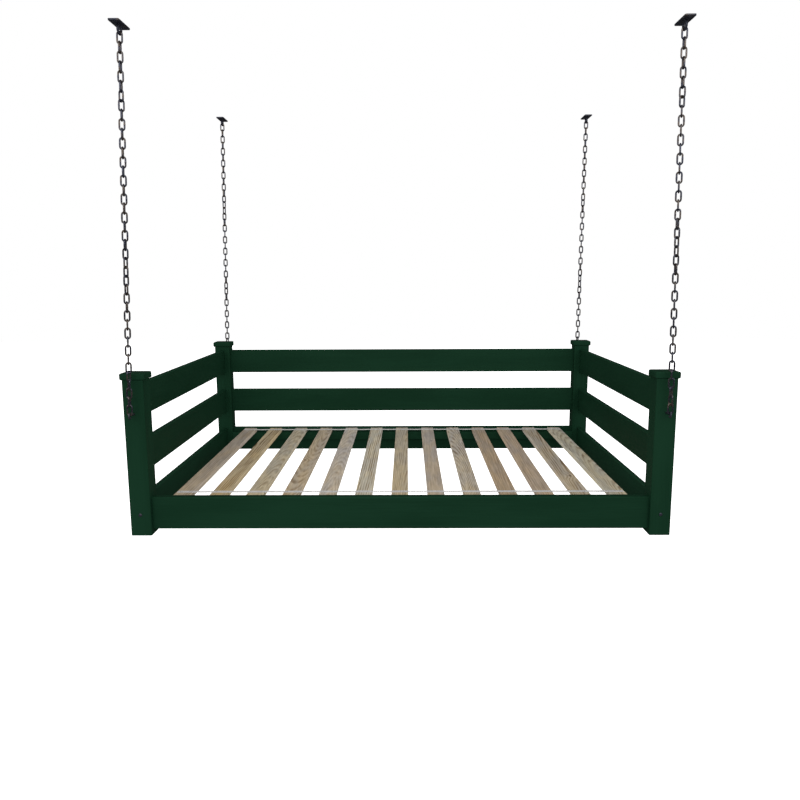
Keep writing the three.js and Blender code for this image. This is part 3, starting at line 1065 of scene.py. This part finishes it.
def staple(place, turn):
    """A U of wire: two legs, two tight bends and a crown that lies on the tape.

    The bends are quarter circles of twice the wire's radius.
    """
    bend = 2 * staple_radius
    quarter = np.linspace(0, math.pi / 2, 4)
    half = staple_crown / 2
    right = np.column_stack([half - bend + bend * np.cos(quarter), bend * np.sin(quarter) - bend])
    left = right[::-1] * [-1, 1]
    path = np.vstack([(half, -staple_leg), right, left, (-half, -staple_leg)])
    along = (math.sin(turn), math.cos(turn), 0)
    return skin(moved(wire(path, staple_radius, 6), along, (0, 0, 1), place))


for node in tape_nodes:
    low, high = box_of(node)
    shells = []
    for middle in slat_middles:
        for side in (-staple_aside, staple_aside):
            x = middle + side + chance.uniform(-stray_along, stray_along)
            y = (low[Y] + high[Y]) / 2 + chance.uniform(-stray_across, stray_across)
            place = (x, y, high[Z] + staple_proud)
            shells.append(staple(place, chance.uniform(-stray_turn, stray_turn)))
    staples = make_piece(node + "_staples", shells, zinc, sharp_above=60)
    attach(staples, body_of_node[node])
    print(node, len(shells), "staples")

# %% [markdown]
# ## One link
#
# A link is a racetrack of wire: two straights joined by half circles, with a slight swelling on
# one straight where its ends were welded. It is drawn once, and every link of a chain is the same
# array of rings, turned and moved.

# %% One link
link_wire = 0.0035  # radius
link_width = 0.026
weld_swelling = 0.10  # share of the wire's radius
weld_reach = 0.003
bend_rows, straight_rows, link_sides = 10, 7, 10


def link_rings(inside_length):
    """Rings of one link along Y, standing on the bottom of its inside.

    Both half circles have the same radius, and the straights between them are what is left of
    the inside length. At the weld, halfway up one straight, the wire's radius grows by the
    share swelling x exp(-(distance / reach)^2).
    """
    bend = link_width / 2 - link_wire
    straight = inside_length / 2 - (bend - link_wire)
    turn = np.linspace(0, math.pi, bend_rows)
    arc = bend * np.column_stack([np.cos(turn), np.sin(turn)])
    rise = np.linspace(straight, -straight, straight_rows)[1:-1]
    left = np.column_stack([np.full(len(rise), -bend), rise])
    path = np.concatenate([arc + [0, straight], left, -arc - [0, straight], -left])
    from_weld = np.hypot(path[:, 0] + bend, path[:, 1])
    swelling = 1 + weld_swelling * np.exp(-((from_weld / weld_reach) ** 2))
    return wire(path + [0, inside_length / 2], link_wire * swelling, link_sides, loop=True)


print("a link has", link_rings(link_width)[:, :, 0].size, "points")

# %% [markdown]
# ## Chains
#
# A chain runs taut from the ring of its screw eye to the ring of its hanger. Each link stands a
# quarter turn from the one below. A chain that hung slack seldom comes straight without a twist,
# so each of these takes three more quarters on the way up, in stretches of three to nine links.
#
# The pitch is the same all the way. Where links bear on each other their wires overlap by about
# 0.23 mm, most of it because the bends are drawn in straight steps. In the shortest stretches
# each link takes up to 1.4 quarters, and there the overlap grows to 0.85 mm. Real links would
# climb on each other instead and draw a little closer.

# %% Chains
link_count = 42
link_bite = 0.00006  # by which a link is shorter inside than the pitch
eye_inside = 0.007  # radius
eye_wire = 0.0035
eye_depth = eye_inside + 2 * eye_wire  # from the ring's outermost point to its middle
hanger_inside = 0.012
hanger_wire = 0.005
chain_joints = {joint["child"]: joint for joint in frame["joints"]}
chain_turns = {  # first link, last link and quarter turns of each stretch
    "front_left": [(3, 5, 1.23), (12, 20, 0.9), (34, 36, 0.87)],
    "front_right": [(1, 3, 0.77), (15, 23, 1), (34, 36, 1.23)],
    "back_left": [(3, 5, 1.15), (12, 16, 1), (24, 31, 0.85)],
    "back_right": [(3, 5, 0.85), (12, 18, 1), (27, 31, 1.15)],
}


def quarter_turns(link, stretches):
    """How many quarter turns a link is from the lowest: one for each link below it, and more.

    A stretch from its first to its last link adds some quarters, and a link has the share
    (link - first + 1) / (last - first + 1) of them, held between 0 and 1.
    """
    first, last, quarters = np.array(stretches).T
    return link + (quarters * np.clip((link - first + 1) / (last - first + 1), 0, 1)).sum()


def inwards_from(corner):
    """Which way along Y the bed lies from a corner: 1 from the front, -1 from the back."""
    return 1 if corner.startswith("front") else -1


def on_axis(node, depth, inwards):
    """The point on a fastener's axis that lies a depth inside its outer end."""
    low, high = box_of(node)
    point = (low + high) / 2
    point[Y] = (low if inwards > 0 else high)[Y] + inwards * depth
    return point


def chain(foot, head, foot_room, head_room, stretches):
    """Shells of a taut chain between the middles of two rings. Link i starts i pitches up it."""
    line = head - foot
    length = np.linalg.norm(line)
    up = line / length
    pitch = (length - foot_room - head_room) / link_count
    side = np.cross([0, 1, 0], up)
    side /= np.linalg.norm(side)
    front = np.cross(up, side)
    rings = link_rings(pitch - link_bite)
    shells = []
    for i in range(link_count):
        turn = quarter_turns(i, stretches) * math.pi / 2
        right = math.cos(turn) * side + math.sin(turn) * front
        place = foot + up * (foot_room + i * pitch)
        shells.append(skin(moved(rings, right, up, place), loop=True))
    return shells, pitch


for corner in corners:
    node = "chain_" + corner
    foot = on_axis("screw_eye_" + corner, eye_depth, inwards_from(corner))
    head = np.array(chain_joints[node]["pos_m"])
    shells, pitch = chain(foot, head, eye_inside, hanger_inside, chain_turns[corner])
    stands_for(make_piece(node + "_links", shells, chain_metal, sharp_above=80), node)
    print(node, "pitch", round(pitch * 1000, 2), "mm")

# %% [markdown]
# ## Screw eyes
#
# A screw eye is one rod. Its shank has a coarse wood thread and points at the middle of the ring.
# Beyond the post the rod swings aside and runs round in the ring until it meets itself again. The
# neck between the two is an arc of a circle that touches the shank and the ring from outside.

# %% Screw eyes
thread_pitch = 0.0032
thread_depth = 0.0009
thread_length = 0.044
tip_share = 0.15  # of the shank's radius, at the very tip
taper_length = 0.012  # in which the rod would grow from nothing to its full radius
neck_bend = 0.006  # radius of the neck's middle line
eye_gap = 0.0008  # between the ring's end and the neck
row_spacing = 0.0004  # of points along the shank
neck_rows, ring_rows, rod_sides = 8, 43, 16


def eye_path(tip):
    """Middle of the rod from the screw's tip, at (0, tip), and how many of its rows are shank.

    The ring has the radius R and the neck the radius f. The neck's middle is (f, c) with c^2 =
    (R + f)^2 - f^2, where it touches both. It is left at the angle whose cosine is f / (R + f).
    """
    ring, bend = eye_inside + eye_wire, neck_bend
    rise = math.sqrt((ring + bend) ** 2 - bend ** 2)
    lean = math.acos(bend / (ring + bend))
    down = np.linspace(tip, rise, int((tip - rise) / row_spacing))
    shank = np.column_stack([np.zeros(len(down)), down])
    turn = math.pi + np.linspace(0, lean, neck_rows + 1)[1:]
    arc = np.column_stack([bend + bend * np.cos(turn), rise + bend * np.sin(turn)])
    start = math.atan2(rise, bend)
    gap = math.asin((2 * eye_wire + eye_gap) / ring)
    round_ring = np.linspace(start, math.pi / 2 - 2 * math.pi + gap, ring_rows + 1)[1:]
    eye = ring * np.column_stack([np.cos(round_ring), np.sin(round_ring)])
    return np.concatenate([shank, arc, eye]), len(down)


def eye_radius(path, shank_rows, tip):
    """Radius of the rod for each row and side.

    On the thread it is a root plus a ridge, and it tapers to the tip. The ridge follows the
    fraction of the turns of a helix: 1.6 (1 - |2 fraction - 1|) - 0.3, held between 0 and 1.
    Past the thread the shank is plain, and past the shank the rod narrows to the ring's wire.
    """
    rows = np.arange(len(path))[:, None]
    from_tip = tip - path[:, 1][:, None]
    fraction = (from_tip / thread_pitch - np.arange(rod_sides) / rod_sides) % 1
    ridge = np.clip(1.6 * (1 - np.abs(2 * fraction - 1)) - 0.3, 0, 1)
    taper = np.clip(tip_share + from_tip / taper_length, 0, 1)
    threaded = (shank_radius - thread_depth + thread_depth * ridge) * taper
    narrowing = np.clip((rows - shank_rows) / neck_rows, 0, 1)
    rod = shank_radius + (eye_wire - shank_radius) * narrowing
    on_thread = (rows < shank_rows) & (from_tip < thread_length)
    return np.where(on_thread, threaded, rod)


for corner in corners:
    node = "screw_eye_" + corner
    inwards = inwards_from(corner)
    low, high = box_of(node)
    middle = on_axis(node, eye_depth, inwards)
    tip = high[Y] - low[Y] - eye_depth
    path, shank_rows = eye_path(tip)
    rings = wire(path, eye_radius(path, shank_rows, tip), rod_sides)
    shell = skin(moved(rings, (0, 0, 1), (0, inwards, 0), middle))
    stands_for(make_piece(node + "_rod", [shell], fastener_metal, sharp_above=50), node)
    print(node, round(tip * 1000), "mm from the ring's middle to the tip")

# %% [markdown]
# ## One bolt
#
# The bolt's head is a low dome with a hexagon recess. Both are turned from one profile, which
# starts on the floor of the recess, climbs its six-sided wall, runs over the dome and goes on
# along the shank.

# %% One bolt
head_thickness = 0.0032
head_rim = 0.35 * head_thickness  # height of the straight part below the dome
head_bevel = 0.0001  # at the rim
head_cone = 0.00002  # by which the head's underside slopes towards the tip
socket_radius = 0.0025  # to its flats
socket_depth = 0.002
socket_bevel = 0.0003  # at its mouth
tip_bevel = 0.002  # at the shank's end
dome_from, dome_rows = 0.35, 8  # the angle where the dome starts, in radians


def bolt_profile(length, head):
    """Rows of radius, height and hexagon, from the recess's floor to the shank's tip.

    The dome is a quarter of an ellipse: radius head x sin a, height (thickness - rim) x (1 -
    cos a), from where it clears the recess. Heights grow from the head towards the tip.
    """
    dome = np.linspace(dome_from, math.pi / 2, dome_rows)
    over = head * np.sin(dome), (head_thickness - head_rim) * (1 - np.cos(dome))
    rows = [(socket_radius * 0.3, socket_depth, 1), (socket_radius, socket_depth, 1)]
    rows += [(socket_radius, socket_bevel, 1), (socket_radius * 1.12, 0.0, 0.6)]
    rows += [(radius, height, 0) for radius, height in zip(*over) if radius > socket_radius * 1.2]
    rows += [(head, head_thickness - head_bevel, 0), (head - head_bevel, head_thickness, 0)]
    rows += [(shank_radius, head_thickness + head_cone, 0)]
    rows += [(shank_radius, length - tip_bevel, 0), (shank_radius * 0.6, length, 0)]
    return rows


def make_bolt(corner):
    """The long bolt of one corner, from its head in the post's outer face to its tip."""
    node = "bolt_" + corner
    inwards = inwards_from(corner)
    low, high = box_of(node)
    points, faces = turned(bolt_profile(high[Y] - low[Y], (high[Z] - low[Z]) / 2))
    points = turned_to(points, Y)
    points[:, Y] *= inwards
    points += on_axis(node, 0, inwards)
    stands_for(make_piece(node + "_steel", [(points, faces)], fastener_metal), node)


print("bolt heads", head_thickness * 1000, "mm thick, recess", socket_depth * 1000, "mm deep")

# %% [markdown]
# ## Bolts and their barrel nuts
#
# The nut is a short bar with chamfered ends. It has a hole across it for the bolt, and a slot in
# its outer face, so that a screwdriver can turn the hole to meet the bolt. Each corner gets its
# bolt and its nut together.

# %% Bolts and their barrel nuts
nut_chamfer = 0.0008
nut_slot = np.array([0.0015, 0.0008, 0.0040])  # depth, half its width and half its length


def make_nut(corner):
    """The barrel nut of one corner, at the inner end of its pocket in the side rail."""
    node = "barrel_nut_" + corner
    low, high = box_of(node)
    middle = (low + high) / 2
    radius, half = (high[Z] - low[Z]) / 2, (high[X] - low[X]) / 2
    profile = [(radius - nut_chamfer, -half, 0), (radius, nut_chamfer - half, 0)]
    profile += [(r, -z, 0) for r, z, _ in profile[::-1]]
    points, faces = turned(profile)
    nut = make_piece(node + "_steel", [(turned_to(points, X) + middle, faces)], fastener_metal)
    face = middle + [half * np.sign(middle[X]), 0, 0]
    bore = cylinder(*shank_box("bolt_" + corner, shank_radius), Y)
    carve(nut, [bore, block(face - nut_slot, face + nut_slot, 0)])
    stands_for(nut, node)


for corner in corners:
    make_bolt(corner)
    make_nut(corner)
print(len(corners), "bolts, each with its barrel nut")

# %% [markdown]
# ## Hangers
#
# A plate goes against the beam and its ring hangs below, welded into it and dressed flush on top.
# The plate and the ring are joined into one solid, and a bead of weld runs round each foot of
# the ring.

# %% Hangers
plate_thickness = 0.006
plate_corner = 0.006
plate_edge = 0.0007
hole_radius = 0.005
hole_spacing = 0.088
dressed_height = 0.02  # cleared above the plate
bead_radius = 0.0018
bead_aside = 0.001  # out from the ring's middle line, which meets the plate at a slant
bead_beyond = 0.0012  # from the wire's surface to the bead's middle
bead_squeeze = 0.86  # the width of its oval, in lengths
bead_ripple = 0.12  # share of its radius
bead_ripples = 10
ring_sides, bead_rows, bead_sides = 20, 40, 10


def circle(radius, count, squeeze=1.0):
    """A flat path radius x (cos a, squeeze x sin a), round or oval."""
    angle = np.arange(count) * 2 * math.pi / count
    return radius * np.column_stack([np.cos(angle), squeeze * np.sin(angle)])


def hanger_ring(middle):
    """The closed ring below a plate, in the plane of Y and Z."""
    rings = wire(circle(hanger_inside + hanger_wire, 48), hanger_wire, ring_sides, loop=True)
    return skin(moved(rings, (0, 1, 0), (0, 0, 1), middle), loop=True)


def weld_bead(foot):
    """An oval bead round a foot of the ring, of radius r x (1 + ripple x sin(ripples x a))."""
    turn = np.arange(bead_rows) * 2 * math.pi * bead_ripples / bead_rows
    radius = bead_radius * (1 + bead_ripple * np.sin(turn))
    path = circle(hanger_wire + bead_beyond, bead_rows, bead_squeeze)
    rings = wire(path, radius, bead_sides, loop=True)
    return skin(moved(rings, (0, 1, 0), (1, 0, 0), foot), loop=True)


for corner in corners:
    node = "hanger_" + corner
    low, high = box_of(node)
    plate_low = np.array([low[X], low[Y], high[Z] - plate_thickness])
    plate_bar = bar(plate_low, high, Z, plate_corner, plate_edge)
    plate = make_piece(node + "_steel", [plate_bar], fastener_metal)
    middle = np.array(chain_joints["chain_" + corner]["pos_m"])
    foot_rise = plate_low[Z] - middle[Z]
    foot_out = math.sqrt((hanger_inside + hanger_wire) ** 2 - foot_rise ** 2) + bead_aside
    beads = [weld_bead(middle + [0, way * foot_out, foot_rise]) for way in (-1, 1)]
    carve(plate, [hanger_ring(middle), *beads], "UNION")
    above_low = np.array([low[X], low[Y], high[Z]])
    cutters = [block(above_low, high + [0, 0, dressed_height], room=0)]
    for way in (-1, 1):
        aside = way * hole_spacing / 2
        centre = np.array([middle[X], middle[Y] + aside, high[Z] - plate_thickness / 2])
        half = np.array([hole_radius, hole_radius, 2 * plate_thickness])
        cutters.append(cylinder(centre - half, centre + half, Z, room=0))
    stands_for(carve(plate, cutters), node)
print("hangers", round(high[Z], 3), "m up")

# %% [markdown]
# ## Done
#
# The dressed model has to stay inside the box of the frame.
